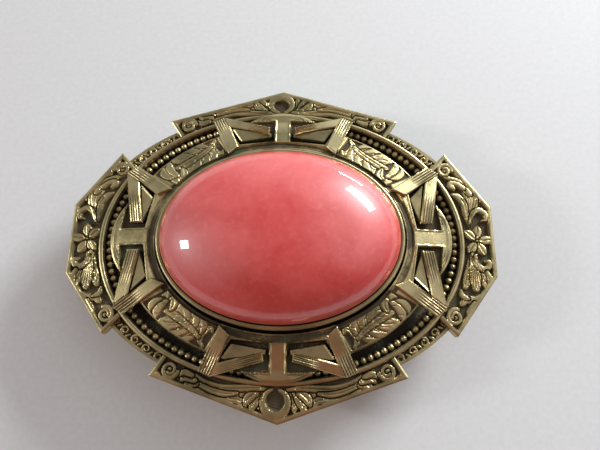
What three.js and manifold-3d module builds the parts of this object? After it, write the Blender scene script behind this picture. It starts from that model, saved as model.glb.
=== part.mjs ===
// Oval brooch of stamped brass with a coral glass cabochon, built as the pieces it comes apart into.
// Millimetres. The front faces +Z, the long axis runs along X, and Y points to the top when it is worn.
// The origin is on the surface that the pin fittings touch, under the middle of the brooch.
import * as THREE from 'three';
import { mergeVertices } from 'three/addons/utils/BufferGeometryUtils.js';
import Module from 'manifold-3d';

const wasm = await Module();
wasm.setup();

// ---- Driving dimensions ----------------------------------------------------------------------
// Heights, from the pin fittings up.
const BACK_UNDERSIDE = 6.0;              // the fabric gap is below this
const SHEET = 0.5;                       // thickness of the back plate
const SEAT = BACK_UNDERSIDE + SHEET;     // everything on the front stands on this level
const SEGMENT_TOP = SEAT + 0.55;         // the four low stretches of border between the wings
const WING_TOP = SEAT + 1.4;             // top of the four wings
const RAIL_TOP = WING_TOP + 0.1;
const RING_OUTER_TOP = WING_TOP + 1.1;   // the inner frame falls from its stone side to its edge
const RING_INNER_TOP = WING_TOP + 1.9;
const RING_UNDERSIDE = WING_TOP + 0.4;
const CUP_FLOOR = WING_TOP + 0.6;
const CUP_FLOOR_TOP = WING_TOP + 1.0;
const BEZEL_RIM = WING_TOP + 2.7;
const GIRDLE = WING_TOP + 2.2;
const DOME_RISE = 6.4;

// Ovals, as half lengths along X and Y.
const STONE = [15.35, 11.3];
const STONE_BASE = [14.9, 10.85];
const CUP_INSIDE = [15.45, 11.4];
const CUP_OUTSIDE = [16.0, 11.95];
const RING_INSIDE = [16.35, 12.35];
const SKIRT_INSIDE = [17.2, 13.2];
const SKIRT_OUTSIDE = [18.0, 14.0];
const RING_OUTSIDE = [20.9, 16.1];
const BEAD_LINE = [22.95, 17.2];
const BEAD_RADIUS = 0.42;
const FRAME_HOLE = [23.65, 17.85];
const RAIL_OUTSIDE = [24.35, 18.55];
const WING_INSIDE = [24.47, 18.67];      // the wings stop just short of the rail
const BORDER_OUTSIDE = [26.85, 19.3];

// Wings: the corner at each end, where the end meets the rail, and the peaks.
const TALL_WING = { end: [16.1, 17.35], foot: [14.5, 14.95] };
const TOP_PEAK = 22.1;
const BOTTOM_PEAK = 22.9;
const SIDE_WING = { end: [22.5, 12.4], foot: [20.55, 10.3], shoulder: [28.2, 4.7] };
const WING_BORDER = 0.65;                // raised band round each wing
const FIELD_DEPTH = 0.35;                // the field inside the band is sunk by this
const RIM_WALL = 0.6;                    // turned-down rim, seen from below

// Strapwork on the inner frame, one quarter of it; the rest are mirror images.
const SIDE_RIBBON = [
  [14.4, 6.3], [19.7, 10.0], [21.15, 9.15], [19.75, 1.8], [18.1, 1.8], [19.15, 7.55], [16.35, 5.55],
];
const TALL_RIBBON = [
  [7.2, 11.35], [9.8, 16.75], [8.3, 17.4], [1.75, 15.6], [1.8, 14.4], [7.25, 15.75], [5.95, 12.5],
];
const RIBBON_THICKNESS = 0.5;
const RIBBON_LIFT = 0.03;                // solder line under each ribbon
const RIBBON_TIP_TOP = WING_TOP + 1.15;
const SIDE_WINDOW = [[17.75, 1.15], [21.0, 1.15], [20.5, 5.0], [19.2, 7.6], [16.9, 5.9]];
const TALL_WINDOW = [[1.15, 13.6], [5.9, 13.1], [7.3, 15.7], [4.6, 16.7], [1.15, 16.8]];
const SIDE_WEDGE = [[17.3, 5.2], [18.15, 2.2], [18.75, 6.9]];
const TALL_WEDGE = [[2.2, 14.1], [6.0, 13.7], [7.0, 15.4]];
const WINDOW_FLOOR = WING_TOP + 0.7;
const WEDGE_TOP = WING_TOP + 1.35;
const SIDE_LOBE = { centre: [15.4, 0], radius: 7.0 };
const TALL_LOBE = { centre: [0, 10.2], radius: 8.0 };
const LOBE_TOP = WING_TOP + 0.95;

// Pin fittings. The pin lies along X, above the middle so that the brooch hangs upright.
const PIN_Y = 5.5;
const PIN_Z = 1.2;
const HINGE_X = -18.5;
const CATCH_X = 18.5;
const PIN_RADIUS = 0.45;
const EAR_RADIUS = 1.2;
const EAR_THICKNESS = 0.7;
const EAR_SPACING = 1.5;                 // clear width between the ears
const EYE_RADIUS = 1.0;
const EYE_BORE = 0.6;
const EYE_WIDTH = 1.2;
const RIVET_RADIUS = 0.5;
const CATCH_SHELL = { inner: 1.25, outer: 1.6, width: 2.4 };
const COLLAR = { inner: 0.72, outer: 1.12, width: 3.8 };
const SLOT_HALF_ANGLE = 55;              // degrees, the mouth that the pin drops through
const SOLDER_PAD = 0.5;                  // thickness of the foot under each fitting

const SEGMENTS = 64;                     // straight steps round each oval

// ---- Materials -------------------------------------------------------------------------------
const brass = (color, roughness) => new THREE.MeshStandardMaterial({ color, roughness, metalness: 1 });
const ANTIQUED = brass(0x8d7c48, 0.4);
const POLISHED = brass(0xb9a767, 0.28);
const PLAIN_BACK = brass(0x9a8a5a, 0.45);
const STEEL = brass(0xb9bcc0, 0.3);
const CORAL = new THREE.MeshStandardMaterial({ color: 0xd9615c, roughness: 0.12, metalness: 0 });

// ---- Helpers ---------------------------------------------------------------------------------
function toSolid(geometry) {
  const bare = geometry.clone();
  bare.deleteAttribute('normal');
  bare.deleteAttribute('uv');
  const merged = mergeVertices(bare, 1e-4);
  const vertProperties = Float32Array.from(merged.attributes.position.array);
  const triVerts = Uint32Array.from(merged.index.array);
  return new wasm.Manifold(new wasm.Mesh({ numProp: 3, vertProperties, triVerts }));
}

function toGeometry(solid) {
  const mesh = solid.getMesh();
  const geometry = new THREE.BufferGeometry();
  geometry.setAttribute('position', new THREE.BufferAttribute(mesh.vertProperties, 3));
  geometry.setIndex(new THREE.BufferAttribute(mesh.triVerts, 1));
  return geometry;
}

function piece(name, geometry, material) {
  const mesh = new THREE.Mesh(geometry, material.clone());
  mesh.name = name;
  return mesh;
}

const outline = (points) => new THREE.Shape(points.map(([x, y]) => new THREE.Vector2(x, y)));

function oval([a, b]) {
  const shape = new THREE.Shape();
  shape.absellipse(0, 0, a, b, 0, Math.PI * 2, false, 0);
  return shape;
}

// A flat plate of the given outline between two heights.
function plate(shape, low, high) {
  const options = { depth: high - low, bevelEnabled: false, curveSegments: SEGMENTS };
  return new THREE.ExtrudeGeometry(shape, options).translate(0, 0, low);
}

// A ring, or with a point on the axis a dome, whose section is a list of [half x, half y, z].
function ovalSolid(section) {
  const lathe = new THREE.LatheGeometry(section.map(([a, , z]) => new THREE.Vector2(a, z)), SEGMENTS);
  lathe.rotateX(Math.PI / 2);
  const position = lathe.attributes.position;
  for (let i = 0; i < position.count; i += 1) {
    const [a, b] = section[i % section.length];
    if (a > 0) position.setY(i, position.getY(i) * (b / a));
  }
  return lathe;
}

const mirrorPoints = (points, sx, sy) => {
  const turned = points.map(([x, y]) => [x * sx, y * sy]);
  return sx * sy < 0 ? turned.reverse() : turned;
};

// Moves each side of an outline inwards by the same distance; the points run anticlockwise.
function inset(points, distance) {
  const inward = (from, to) => new THREE.Vector2(from[1] - to[1], to[0] - from[0]).normalize();
  return points.map((point, i) => {
    const before = inward(points[(i + points.length - 1) % points.length], point);
    const after = inward(point, points[(i + 1) % points.length]);
    const corner = before.clone().add(after).multiplyScalar(distance / (1 + before.dot(after)));
    return [point[0] + corner.x, point[1] + corner.y];
  });
}

// Points on an oval from one place to another, the short way, without its two ends.
function ovalArc([a, b], from, to, steps) {
  const start = Math.atan2(from[1] / b, from[0] / a);
  let sweep = Math.atan2(to[1] / b, to[0] / a) - start;
  if (sweep > Math.PI) sweep -= Math.PI * 2;
  if (sweep < -Math.PI) sweep += Math.PI * 2;
  return Array.from({ length: steps - 1 }, (_, i) => {
    const angle = start + (sweep * (i + 1)) / steps;
    return [a * Math.cos(angle), b * Math.sin(angle)];
  });
}

const QUARTERS = [[1, 1], [-1, 1], [-1, -1], [1, -1]];
const SIDES = [1, -1];

// ---- Wing outlines, anticlockwise ------------------------------------------------------------
function tallWing(side) {
  const { end, foot } = TALL_WING;
  const peak = side > 0 ? TOP_PEAK : BOTTOM_PEAK;
  const left = [-foot[0], foot[1]];
  const points = [foot, end, [0, peak], [-end[0], end[1]], left, ...ovalArc(WING_INSIDE, left, foot, 10)];
  return mirrorPoints(points, 1, side);
}

function sideWing(side) {
  const { end, foot, shoulder } = SIDE_WING;
  const low = [foot[0], -foot[1]];
  const arc = ovalArc(WING_INSIDE, foot, low, 8);
  const edge = [low, [end[0], -end[1]], [shoulder[0], -shoulder[1]], shoulder, end, foot];
  return mirrorPoints([...edge, ...arc], side, 1);
}

const WINGS = [tallWing(1), tallWing(-1), sideWing(1), sideWing(-1)];

// ---- Back plate: flat sheet that closes the hollow stamping from behind ------------------------
function backPlate() {
  const EDGE_GAP = 0.35;
  const border = BORDER_OUTSIDE.map((half) => half - EDGE_GAP);
  let solid = toSolid(plate(oval(border), BACK_UNDERSIDE, SEAT));
  for (const wing of WINGS) {
    solid = solid.add(toSolid(plate(outline(inset(wing, EDGE_GAP)), BACK_UNDERSIDE, SEAT)));
  }
  const VENT_RADIUS = 1.0;
  const VENT_X = 9.0;
  for (const side of SIDES) {
    const hole = new THREE.CylinderGeometry(VENT_RADIUS, VENT_RADIUS, 4, 16).rotateX(Math.PI / 2);
    solid = solid.subtract(toSolid(hole.translate(side * VENT_X, -4, BACK_UNDERSIDE)));
  }
  return piece('back_plate', toGeometry(solid), PLAIN_BACK);
}

// ---- Outer frame: one hollow stamping, four wings joined by low border segments ----------------
function outerFrame() {
  let solid = toSolid(plate(oval(BORDER_OUTSIDE), SEAT, SEGMENT_TOP));
  for (const wing of WINGS) solid = solid.add(toSolid(plate(outline(wing), SEAT, WING_TOP)));
  for (const wing of WINGS) {
    const field = plate(outline(inset(wing, WING_BORDER)), WING_TOP - FIELD_DEPTH, WING_TOP + 1);
    const hollow = plate(outline(inset(wing, RIM_WALL)), SEAT - 1, WING_TOP - FIELD_DEPTH - 0.4);
    solid = solid.subtract(toSolid(field)).subtract(toSolid(hollow));
  }
  return piece('outer_frame', toGeometry(solid.subtract(toSolid(plate(oval(FRAME_HOLE), 0, 30)))), ANTIQUED);
}

// ---- Half-round rail and beaded wire, soldered inside the outer frame --------------------------
function rail() {
  const shoulder = RAIL_TOP - 0.3;
  const [a, b] = FRAME_HOLE;
  const width = RAIL_OUTSIDE[0] - a - 0.03;
  const at = (part, z) => [a + width * part, b + width * part, z];
  return piece('rail_wire', ovalSolid([
    at(0, SEGMENT_TOP), at(1, SEGMENT_TOP), at(1, shoulder), at(0.7, RAIL_TOP), at(0.3, RAIL_TOP),
    at(0, shoulder), at(0, SEGMENT_TOP),
  ]), POLISHED);
}

function beadedWire() {
  const SIDES_OF_WIRE = 6;
  const middle = SEAT + BEAD_RADIUS;
  const section = Array.from({ length: SIDES_OF_WIRE + 1 }, (_, i) => {
    const angle = ((i % SIDES_OF_WIRE) + 0.5) * ((Math.PI * 2) / SIDES_OF_WIRE);
    const across = BEAD_RADIUS * Math.cos(angle);
    return [BEAD_LINE[0] + across, BEAD_LINE[1] + across, middle + BEAD_RADIUS * Math.sin(angle)];
  });
  return piece('beaded_wire', ovalSolid(section), ANTIQUED);
}

// ---- Inner frame: raised stamping with strapwork windows, wedges and lobes ---------------------
function innerFrame() {
  let solid = toSolid(ovalSolid([
    [...RING_INSIDE, RING_UNDERSIDE], [...SKIRT_INSIDE, RING_UNDERSIDE], [...SKIRT_INSIDE, SEAT],
    [...SKIRT_OUTSIDE, SEAT], [...SKIRT_OUTSIDE, RING_UNDERSIDE], [...RING_OUTSIDE, RING_UNDERSIDE],
    [...RING_OUTSIDE, RING_OUTER_TOP], [...RING_INSIDE, RING_INNER_TOP], [...RING_INSIDE, RING_UNDERSIDE],
  ]));
  for (const side of SIDES) {
    for (const [lobe, turn] of [[SIDE_LOBE, [side, 1]], [TALL_LOBE, [1, side]]]) {
      const [x, y] = lobe.centre;
      const shape = new THREE.Shape().absarc(x * turn[0], y * turn[1], lobe.radius, 0, Math.PI * 2);
      const disc = new THREE.ExtrudeGeometry(shape, {
        depth: LOBE_TOP - RING_UNDERSIDE, bevelEnabled: false, curveSegments: 20,
      });
      const bore = toSolid(plate(oval(SKIRT_OUTSIDE), 0, 30));
      solid = solid.add(toSolid(disc.translate(0, 0, RING_UNDERSIDE)).subtract(bore));
    }
  }
  for (const [sx, sy] of QUARTERS) {
    for (const opening of [SIDE_WINDOW, TALL_WINDOW]) {
      solid = solid.subtract(toSolid(plate(outline(mirrorPoints(opening, sx, sy)), WINDOW_FLOOR, 20)));
    }
    for (const wedge of [SIDE_WEDGE, TALL_WEDGE]) {
      solid = solid.add(toSolid(plate(outline(mirrorPoints(wedge, sx, sy)), WINDOW_FLOOR - 0.1, WEDGE_TOP)));
    }
  }
  return piece('inner_frame', toGeometry(solid), ANTIQUED);
}

// ---- Folded ribbons: eight flat V strips soldered on the inner frame, tips over the rail --------
function ribbon(name, points, sx, sy) {
  const shape = outline(mirrorPoints(points, sx, sy));
  const strip = new THREE.ExtrudeGeometry(shape, { depth: 1, bevelEnabled: false });
  const position = strip.attributes.position;
  const start = RING_INSIDE[0] / RING_OUTSIDE[0];
  const TIP = 1.14;                      // how far out the tips lie, as a share of the ring's edge
  const startTop = RING_INNER_TOP + RIBBON_LIFT + RIBBON_THICKNESS;
  for (let i = 0; i < position.count; i += 1) {
    const out = Math.hypot(position.getX(i) / RING_OUTSIDE[0], position.getY(i) / RING_OUTSIDE[1]);
    const share = (out - start) / (TIP - start);
    const top = startTop + (RIBBON_TIP_TOP - startTop) * share;
    position.setZ(i, position.getZ(i) > 0.5 ? top : top - RIBBON_THICKNESS);
  }
  return piece(name, strip, POLISHED);
}

// ---- Setting cup and stone ---------------------------------------------------------------------
function settingCup() {
  return piece('setting_cup', ovalSolid([
    [0, 0, CUP_FLOOR], [...CUP_INSIDE, CUP_FLOOR], [...CUP_INSIDE, SEAT], [...CUP_OUTSIDE, SEAT],
    [...CUP_OUTSIDE, BEZEL_RIM - 0.15], [CUP_OUTSIDE[0] - 0.2, CUP_OUTSIDE[1] - 0.2, BEZEL_RIM],
    [...CUP_INSIDE, BEZEL_RIM], [...CUP_INSIDE, CUP_FLOOR_TOP], [0, 0, CUP_FLOOR_TOP],
  ]), POLISHED);
}

function cabochon() {
  const STEPS = 9;
  const FULLNESS = 0.86;                 // under 1 the dome is fuller than half an ellipsoid
  const dome = Array.from({ length: STEPS + 1 }, (_, i) => {
    const angle = (Math.PI / 2) * (i / STEPS);
    const out = i === STEPS ? 0 : Math.cos(angle) ** FULLNESS;
    return [STONE[0] * out, STONE[1] * out, GIRDLE + DOME_RISE * Math.sin(angle) ** (1 / FULLNESS)];
  });
  return piece('cabochon', ovalSolid([[0, 0, CUP_FLOOR_TOP], [...STONE_BASE, CUP_FLOOR_TOP], ...dome]), CORAL);
}

// ---- Pin fittings, soldered to the back plate -----------------------------------------------------
const alongY = (geometry) => geometry.translate(HINGE_X, PIN_Y, PIN_Z);

function hingeBase() {
  const PAD_LENGTH = 5.0;
  const padWidth = EAR_SPACING + 2 * EAR_THICKNESS + 1.0;
  const padLow = BACK_UNDERSIDE - SOLDER_PAD;
  const pad = new THREE.BoxGeometry(PAD_LENGTH, padWidth, SOLDER_PAD);
  let solid = toSolid(pad.translate(HINGE_X, PIN_Y, padLow + SOLDER_PAD / 2));
  const ear = new THREE.Shape();
  const rise = padLow + 0.1 - PIN_Z;
  ear.moveTo(-EAR_RADIUS, 0);
  ear.absarc(0, 0, EAR_RADIUS, Math.PI, 0, false);
  ear.lineTo(PAD_LENGTH / 2 - 0.3, rise);
  ear.lineTo(-PAD_LENGTH / 2 + 0.3, rise);
  ear.closePath();
  for (const side of SIDES) {
    const sheet = new THREE.ExtrudeGeometry(ear, { depth: EAR_THICKNESS, bevelEnabled: false, curveSegments: 14 });
    sheet.rotateX(Math.PI / 2).translate(0, EAR_THICKNESS / 2 + side * (EAR_SPACING + EAR_THICKNESS) / 2, 0);
    solid = solid.add(toSolid(alongY(sheet)));
  }
  const bore = new THREE.CylinderGeometry(RIVET_RADIUS + 0.03, RIVET_RADIUS + 0.03, 8, 20);
  return piece('hinge_base', toGeometry(solid.subtract(toSolid(alongY(bore)))), PLAIN_BACK);
}

function hingeRivet() {
  const HEAD_RADIUS = 0.8;
  const HEAD_HEIGHT = 0.3;
  const half = EAR_SPACING / 2 + EAR_THICKNESS + 0.02;
  const profile = [
    [0, -half - HEAD_HEIGHT], [HEAD_RADIUS * 0.7, -half - HEAD_HEIGHT], [HEAD_RADIUS, -half - HEAD_HEIGHT / 2],
    [HEAD_RADIUS, -half], [RIVET_RADIUS, -half], [RIVET_RADIUS, half], [HEAD_RADIUS, half],
    [HEAD_RADIUS, half + HEAD_HEIGHT / 2], [HEAD_RADIUS * 0.7, half + HEAD_HEIGHT], [0, half + HEAD_HEIGHT],
  ].map(([r, y]) => new THREE.Vector2(r, y));
  return piece('hinge_rivet', alongY(new THREE.LatheGeometry(profile, 20)), STEEL);
}

function pinStem() {
  const REACH = 41.5;                    // hinge rivet to the point
  const POINT = 5.0;                     // length of the tapered point
  const profile = [
    [0, 0.8], [PIN_RADIUS, 0.8], [PIN_RADIUS, REACH - POINT], [PIN_RADIUS * 0.6, REACH - POINT * 0.35],
    [0, REACH],
  ].map(([r, along]) => new THREE.Vector2(r, along));
  const stem = new THREE.LatheGeometry(profile, 12).rotateZ(-Math.PI / 2);
  const eye = new THREE.CylinderGeometry(EYE_RADIUS, EYE_RADIUS, EYE_WIDTH, 20);
  const bore = new THREE.CylinderGeometry(EYE_BORE, EYE_BORE, 4, 20);
  const solid = toSolid(stem).add(toSolid(eye)).subtract(toSolid(bore));
  return piece('pin_stem', alongY(toGeometry(solid)), STEEL);
}

// A C-shaped shell round the pin line with its mouth facing down.
function openSleeve(inner, outer, width) {
  const half = THREE.MathUtils.degToRad(SLOT_HALF_ANGLE);
  const start = -Math.PI / 2 + half;
  const end = (Math.PI * 3) / 2 - half;
  const shape = new THREE.Shape();
  shape.absarc(0, 0, outer, start, end, false);
  shape.absarc(0, 0, inner, end, start, true);
  shape.closePath();
  const sleeve = new THREE.ExtrudeGeometry(shape, { depth: width, bevelEnabled: false, curveSegments: 20 });
  return sleeve.translate(0, 0, -width / 2).rotateX(Math.PI / 2).rotateZ(Math.PI / 2);
}

function catchBase() {
  const PAD = [4.4, 3.4];
  const NECK = 1.0;
  const padLow = BACK_UNDERSIDE - SOLDER_PAD;
  const neckLow = PIN_Z + (CATCH_SHELL.inner + CATCH_SHELL.outer) / 2;
  const pad = new THREE.BoxGeometry(PAD[0], PAD[1], SOLDER_PAD).translate(0, 0, padLow + SOLDER_PAD / 2 - PIN_Z);
  const neckHeight = padLow + 0.1 - neckLow;
  const neck = new THREE.BoxGeometry(CATCH_SHELL.width, NECK, neckHeight);
  neck.translate(0, 0, neckLow + neckHeight / 2 - PIN_Z);
  const shell = openSleeve(CATCH_SHELL.inner, CATCH_SHELL.outer, CATCH_SHELL.width);
  const solid = toSolid(pad).add(toSolid(neck)).add(toSolid(shell));
  return piece('catch_base', toGeometry(solid).translate(CATCH_X, PIN_Y, PIN_Z), PLAIN_BACK);
}

function catchCollar() {
  const TAB = { length: 1.7, width: 0.6, thickness: 0.55, rise: 20 };
  let solid = toSolid(openSleeve(COLLAR.inner, COLLAR.outer, COLLAR.width));
  const along = COLLAR.width / 2 - TAB.width / 2;
  for (const side of SIDES) {
    const tab = new THREE.BoxGeometry(TAB.width, TAB.length, TAB.thickness);
    tab.translate(side * along, (COLLAR.inner + COLLAR.outer) / 2 + TAB.length / 2, 0);
    tab.rotateX(THREE.MathUtils.degToRad(TAB.rise));
    solid = solid.add(toSolid(tab));
  }
  return piece('catch_collar', toGeometry(solid).translate(CATCH_X, PIN_Y, PIN_Z), STEEL);
}

// ---- Assembly --------------------------------------------------------------------------------
const brooch = new THREE.Group();
brooch.add(backPlate(), outerFrame(), rail(), beadedWire(), innerFrame(), settingCup(), cabochon());
for (const [sx, sy] of QUARTERS) {
  const corner = `${sy > 0 ? 'upper' : 'lower'}_${sx > 0 ? 'right' : 'left'}`;
  brooch.add(ribbon(`side_ribbon_${corner}`, SIDE_RIBBON, sx, sy));
  brooch.add(ribbon(`tall_ribbon_${corner}`, TALL_RIBBON, sx, sy));
}
brooch.add(hingeBase(), hingeRivet(), pinStem(), catchBase(), catchCollar());
// The lower wing is longer than the upper one, so the stone sits a little above the middle.
brooch.position.y = (BOTTOM_PEAK - TOP_PEAK) / 2;

export default brooch;
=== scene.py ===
import math

import bmesh
import bpy
import numpy as np
from mathutils import Matrix, Vector


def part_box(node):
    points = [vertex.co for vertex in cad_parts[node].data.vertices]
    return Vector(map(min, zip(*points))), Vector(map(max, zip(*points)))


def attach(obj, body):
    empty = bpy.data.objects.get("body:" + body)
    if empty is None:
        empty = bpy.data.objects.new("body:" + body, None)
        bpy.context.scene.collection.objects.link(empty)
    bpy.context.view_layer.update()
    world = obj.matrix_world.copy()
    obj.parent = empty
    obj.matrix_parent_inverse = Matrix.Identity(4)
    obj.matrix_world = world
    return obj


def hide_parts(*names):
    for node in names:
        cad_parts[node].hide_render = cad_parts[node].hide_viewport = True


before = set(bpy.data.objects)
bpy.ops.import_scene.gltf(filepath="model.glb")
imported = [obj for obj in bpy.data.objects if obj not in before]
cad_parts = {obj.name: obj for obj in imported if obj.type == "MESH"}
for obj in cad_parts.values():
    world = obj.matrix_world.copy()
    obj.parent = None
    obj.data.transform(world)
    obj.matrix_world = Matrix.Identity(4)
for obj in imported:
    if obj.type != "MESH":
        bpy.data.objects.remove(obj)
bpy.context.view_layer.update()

# ==================================================================================================
# Stage. The brooch lies face up on a sheet of pale paper, resting on its pin fittings, and is seen
# from just short of overhead. Everything below is modelled in millimetres round the stone's middle.
# ==================================================================================================
MM = 0.001
stone_low, stone_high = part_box("cabochon")
middle = (stone_low + stone_high) / 2
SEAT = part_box("outer_frame")[0].z / MM           # top of the back plate
WING_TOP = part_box("outer_frame")[1].z / MM       # top of the four wings


def from_hex(code):
    """An sRGB hex colour as the linear values that the shaders use."""
    channels = [int(code[i:i + 2], 16) / 255 for i in (1, 3, 5)]
    return [c / 12.92 if c <= 0.04045 else ((c + 0.055) / 1.055) ** 2.4 for c in channels] + [1.0]


def add_node(tree, kind, settings=None, inputs=None):
    """Adds a shader node; an input that is a socket is linked, and any other value is set."""
    node = tree.nodes.new(kind)
    for name, value in (settings or {}).items():
        setattr(node, name, value)
    for name, value in (inputs or {}).items():
        if isinstance(value, bpy.types.NodeSocket):
            tree.links.new(value, node.inputs[name])
        else:
            node.inputs[name].default_value = value
    return node


def noise(tree, where, scale, detail=2.0):
    """A cloudy pattern, scale counted per metre."""
    return add_node(tree, "ShaderNodeTexNoise", inputs={
        "Vector": where, "Scale": scale, "Detail": detail,
    }).outputs[0]


def spread(tree, value, low, high, to_low=0.0, to_high=1.0):
    """A value from low to high carried to another range, and held at its ends."""
    return add_node(tree, "ShaderNodeMapRange", inputs={
        "Value": value, "From Min": low, "From Max": high, "To Min": to_low, "To Max": to_high,
    }).outputs[0]


def blend(tree, share, first, second):
    """Two colours mixed; each is a socket or a hex code."""
    first, second = (from_hex(colour) if isinstance(colour, str) else colour for colour in (first, second))
    return add_node(tree, "ShaderNodeMix", {"data_type": "RGBA"}, {0: share, 6: first, 7: second}).outputs[2]


def maths(tree, operation, *values):
    """One sum on sockets and numbers."""
    return add_node(tree, "ShaderNodeMath", {"operation": operation}, dict(enumerate(values))).outputs[0]


def drawn_lines(tree, where, scale, detail=2.0, angle=0.0):
    """Noise stretched to lines, with a scale per metre along each axis."""
    drawn = add_node(tree, "ShaderNodeMapping", inputs={
        "Vector": where, "Rotation": (0.0, 0.0, angle), "Scale": scale,
    })
    return noise(tree, drawn.outputs[0], 1.0, detail)


def add_bump(tree, shader, height, strength, distance):
    """Roughens the surface by a height pattern; distance is in metres."""
    bump = add_node(tree, "ShaderNodeBump", inputs={
        "Height": height, "Strength": strength, "Distance": distance,
    })
    tree.links.new(bump.outputs[0], shader.inputs["Normal"])


def new_material(name):
    """An empty material with its node tree, Principled shader and output joined up."""
    material = bpy.data.materials.new(name)
    material.use_nodes = True
    tree = material.node_tree
    tree.nodes.clear()
    shader = add_node(tree, "ShaderNodeBsdfPrincipled")
    output = add_node(tree, "ShaderNodeOutputMaterial", inputs={"Surface": shader.outputs["BSDF"]})
    output.location.x = 400
    return material, tree, shader


# Uncoated white paper: a flat pale surface with a faint grey fibre under a millimetre across.
paper, tree, shader = new_material("white_paper")
where = add_node(tree, "ShaderNodeTexCoord").outputs["Object"]
tone = blend(tree, noise(tree, where, 1400.0, 4.0), "#d4d9d8", "#e3e7e9")
tree.links.new(tone, shader.inputs["Base Color"])
shader.inputs["Roughness"].default_value = 0.95
shader.inputs["Specular IOR Level"].default_value = 0.15
FLOOR_HALF = 0.6
bm = bmesh.new()
bmesh.ops.create_grid(bm, x_segments=1, y_segments=1, size=FLOOR_HALF)
floor_mesh = bpy.data.meshes.new("paper_floor")
bm.to_mesh(floor_mesh)
bm.free()
floor = bpy.data.objects.new("paper_floor", floor_mesh)
bpy.context.scene.collection.objects.link(floor)
floor_mesh.materials.append(paper)

# The camera is a wide compact lens held close over the lower edge of the brooch.
LENS = 28.5                  # mm, on a sensor 36 mm wide
CAMERA_DISTANCE = 63.6       # mm from the point that it looks at
CAMERA_ELEVATION = math.radians(74.43)
CAMERA_AZIMUTH = math.radians(3.06)
CAMERA_ROLL = math.radians(-2.61)
LOOK_AT = (2.52, 2.04)       # mm right of and above the stone's middle, on the level of the wings
outward = Vector((
    math.sin(CAMERA_AZIMUTH) * math.cos(CAMERA_ELEVATION),
    -math.cos(CAMERA_AZIMUTH) * math.cos(CAMERA_ELEVATION),
    math.sin(CAMERA_ELEVATION),
))
sideways = Vector((0, 0, 1)).cross(outward).normalized()
turned = Matrix((sideways, outward.cross(sideways), outward)).transposed()
target = Vector((middle.x + LOOK_AT[0] * MM, middle.y + LOOK_AT[1] * MM, WING_TOP * MM))
camera_data = bpy.data.cameras.new("camera")
camera_data.lens = LENS
camera_data.sensor_width = 36.0
camera_data.clip_start = 0.002
camera_data.clip_end = 5.0
camera = bpy.data.objects.new("camera", camera_data)
placed = turned.to_4x4() @ Matrix.Rotation(CAMERA_ROLL, 4, "Z")
camera.matrix_world = Matrix.Translation(target + outward * CAMERA_DISTANCE * MM) @ placed
bpy.context.scene.collection.objects.link(camera)
bpy.context.scene.camera = camera


def add_panel(name, direction, distance, size, watts, colour):
    """A soft rectangular light at a distance from the brooch, facing it."""
    light = bpy.data.lights.new(name, "AREA")
    light.shape = "RECTANGLE"
    light.size, light.size_y = size
    light.energy = watts
    light.color = from_hex(colour)[:3]
    lamp = bpy.data.objects.new(name, light)
    away = Vector(direction).normalized()
    lamp.location = middle + away * distance
    lamp.rotation_euler = away.to_track_quat("Z", "Y").to_euler()
    bpy.context.scene.collection.objects.link(lamp)


# A bright window beyond the right shoulder with a slit beside its blind, and a far window on the left.
# The room is dim, with pale walls on the right, behind and on the left, and a red garment glows
# faintly in front, where whoever looks at the brooch stands.
add_panel("window", (0.66, 0.655, 0.37), 0.30, (0.115, 0.050), 0.95, "#fbfcff")
add_panel("window_slit", (0.50, 0.87, 0.03), 0.34, (0.085, 0.007), 0.10, "#fbfcff")
add_panel("far_window", (-0.90, -0.03, 0.45), 0.6, (0.07, 0.10), 0.8, "#fffaf8")
ROOM_LIGHT = (0.052, 0.043, 0.040)
ROOM_LOBES = (      # direction, where the light begins and is full as cosines, colour
    ((0.75, 0.25, 0.60), 0.62, 0.96, (0.70, 0.70, 0.72)),
    ((0.20, 0.95, 0.20), 0.60, 1.0, (0.72, 0.76, 0.80)),
    ((-0.85, 0.10, 0.50), 0.50, 1.0, (0.50, 0.50, 0.50)),
    ((0.0, -0.75, 0.66), 0.46, 1.0, (0.20, 0.045, 0.018)),
)
world = bpy.data.worlds.new("room")
bpy.context.scene.world = world
world.use_nodes = True
room = world.node_tree
facing = add_node(room, "ShaderNodeTexCoord").outputs["Generated"]
glow = add_node(room, "ShaderNodeCombineXYZ", inputs=dict(zip("XYZ", ROOM_LIGHT))).outputs[0]
for direction, begin, full, colour in ROOM_LOBES:
    towards = add_node(room, "ShaderNodeVectorMath", {"operation": "DOT_PRODUCT"}, {
        0: facing, 1: Vector(direction).normalized(),
    })
    share = add_node(room, "ShaderNodeMapRange", {"interpolation_type": "SMOOTHSTEP"}, {
        "Value": towards.outputs["Value"], "From Min": begin, "From Max": full,
    })
    part = add_node(room, "ShaderNodeVectorMath", {"operation": "SCALE"}, {
        0: Vector(colour), "Scale": share.outputs[0],
    })
    glow = add_node(room, "ShaderNodeVectorMath", {"operation": "ADD"}, {
        0: glow, 1: part.outputs[0],
    }).outputs[0]
room.links.new(glow, room.nodes["Background"].inputs["Color"])
# Shown without a film curve, so that bright metal keeps its colour.
bpy.context.scene.view_settings.view_transform = "Standard"

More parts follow.
